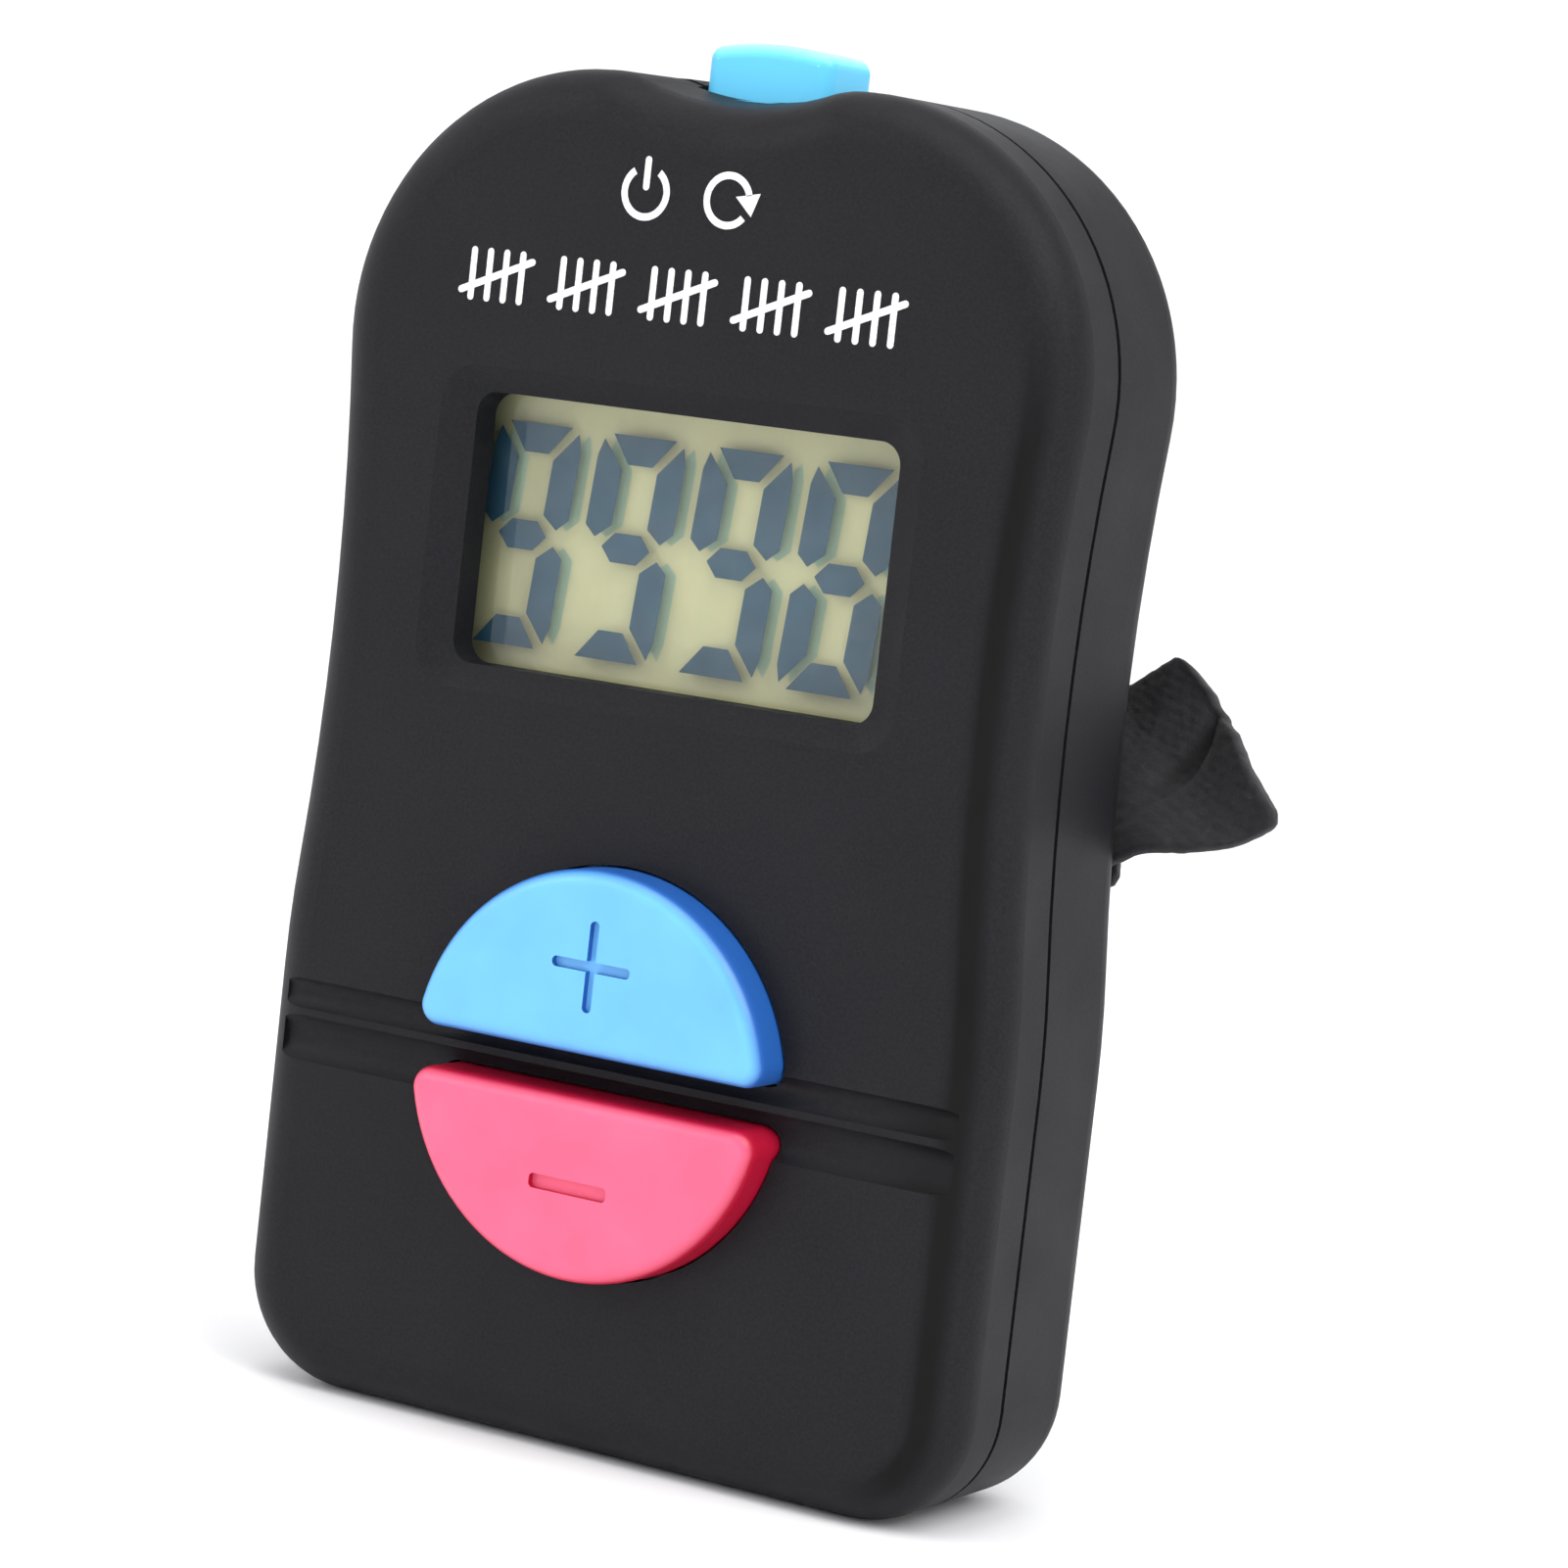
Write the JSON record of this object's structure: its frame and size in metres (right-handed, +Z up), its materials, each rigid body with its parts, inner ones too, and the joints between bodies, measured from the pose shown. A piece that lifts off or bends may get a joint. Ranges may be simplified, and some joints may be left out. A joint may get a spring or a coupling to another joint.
{
  "type": "hand tally counter",
  "caption": "Pocket electronic tally counter: waisted charcoal case with a display window, split round plus and minus keys, top key, coin-turn battery door and finger strap.",
  "frame": {"origin": "middle of the flat bottom face of the case", "axes": "+Z up the counter, the face with the display and keys looks along -Y, +X is to the right of that face"},
  "size_m": [0.047, 0.0331, 0.0669],
  "materials": {
    "case_plastic": "fine satin moulded ABS, charcoal",
    "blue_plastic": "satin moulded plastic, light blue",
    "sky_plastic": "satin moulded plastic, sky blue",
    "pink_plastic": "satin moulded plastic, hot pink",
    "clear_window": "clear acrylic sheet",
    "polariser_film": "grey-green polarising film",
    "display_glass": "thin display glass",
    "reflector_film": "beige reflecting film",
    "connector_rubber": "striped silicone",
    "foam": "closed-cell foam",
    "board_laminate": "green solder mask",
    "chip_epoxy": "black epoxy drop",
    "capacitor_ceramic": "ceramic with tinned ends",
    "switch_plastic": "moulded nylon",
    "plunger_plastic": "moulded nylon",
    "cell_steel": "nickel-plated steel",
    "contact_metal": "nickel-plated spring steel",
    "screw_steel": "dark zinc-plated steel",
    "strap_webbing": "black woven webbing"
  },
  "bodies": {
    "case": {"front_shell": "case_plastic", "rear_shell": "case_plastic", "display_window": "clear_window", "lcd_front_polariser": "polariser_film", "lcd_front_glass": "display_glass", "lcd_rear_glass": "display_glass", "lcd_reflector": "reflector_film", "elastomer_connector": "connector_rubber", "display_foam_pad": "foam", "circuit_board": "board_laminate", "counter_chip": "chip_epoxy", "board_capacitors": "capacitor_ceramic", "plus_switch_body": "switch_plastic", "minus_switch_body": "switch_plastic", "reset_switch_body": "switch_plastic", "battery_cell": "cell_steel", "negative_contact": "contact_metal", "positive_contact": "contact_metal", "case_screws": "screw_steel", "board_screws": "screw_steel", "finger_strap": "strap_webbing"},
    "plus_key": {"plus_key": "blue_plastic", "plus_switch_plunger": "plunger_plastic"},
    "minus_key": {"minus_key": "pink_plastic", "minus_switch_plunger": "plunger_plastic"},
    "reset_key": {"reset_key": "sky_plastic", "reset_switch_plunger": "plunger_plastic"},
    "battery_door": {"battery_door": "case_plastic"}
  },
  "joints": [
    {"name": "plus_press", "type": "slide", "parent": "case", "child": "plus_key", "axis": [0, 1, 0], "range_m": [0, 0.0005], "stiffness_N_per_m": 2500, "springref_m": -0.0002},
    {"name": "minus_press", "type": "slide", "parent": "case", "child": "minus_key", "axis": [0, 1, 0], "range_m": [0, 0.0005], "stiffness_N_per_m": 2500, "springref_m": -0.0002},
    {"name": "reset_press", "type": "slide", "parent": "case", "child": "reset_key", "axis": [0, 0, -1], "range_m": [0, 0.0006], "stiffness_N_per_m": 2500, "springref_m": -0.0002},
    {"name": "door_turn", "type": "hinge", "parent": "case", "child": "battery_door", "pos_m": [0, 0.00625, 0.0175], "axis": [0, 1, 0], "range_deg": [0, 45]}
  ]
}
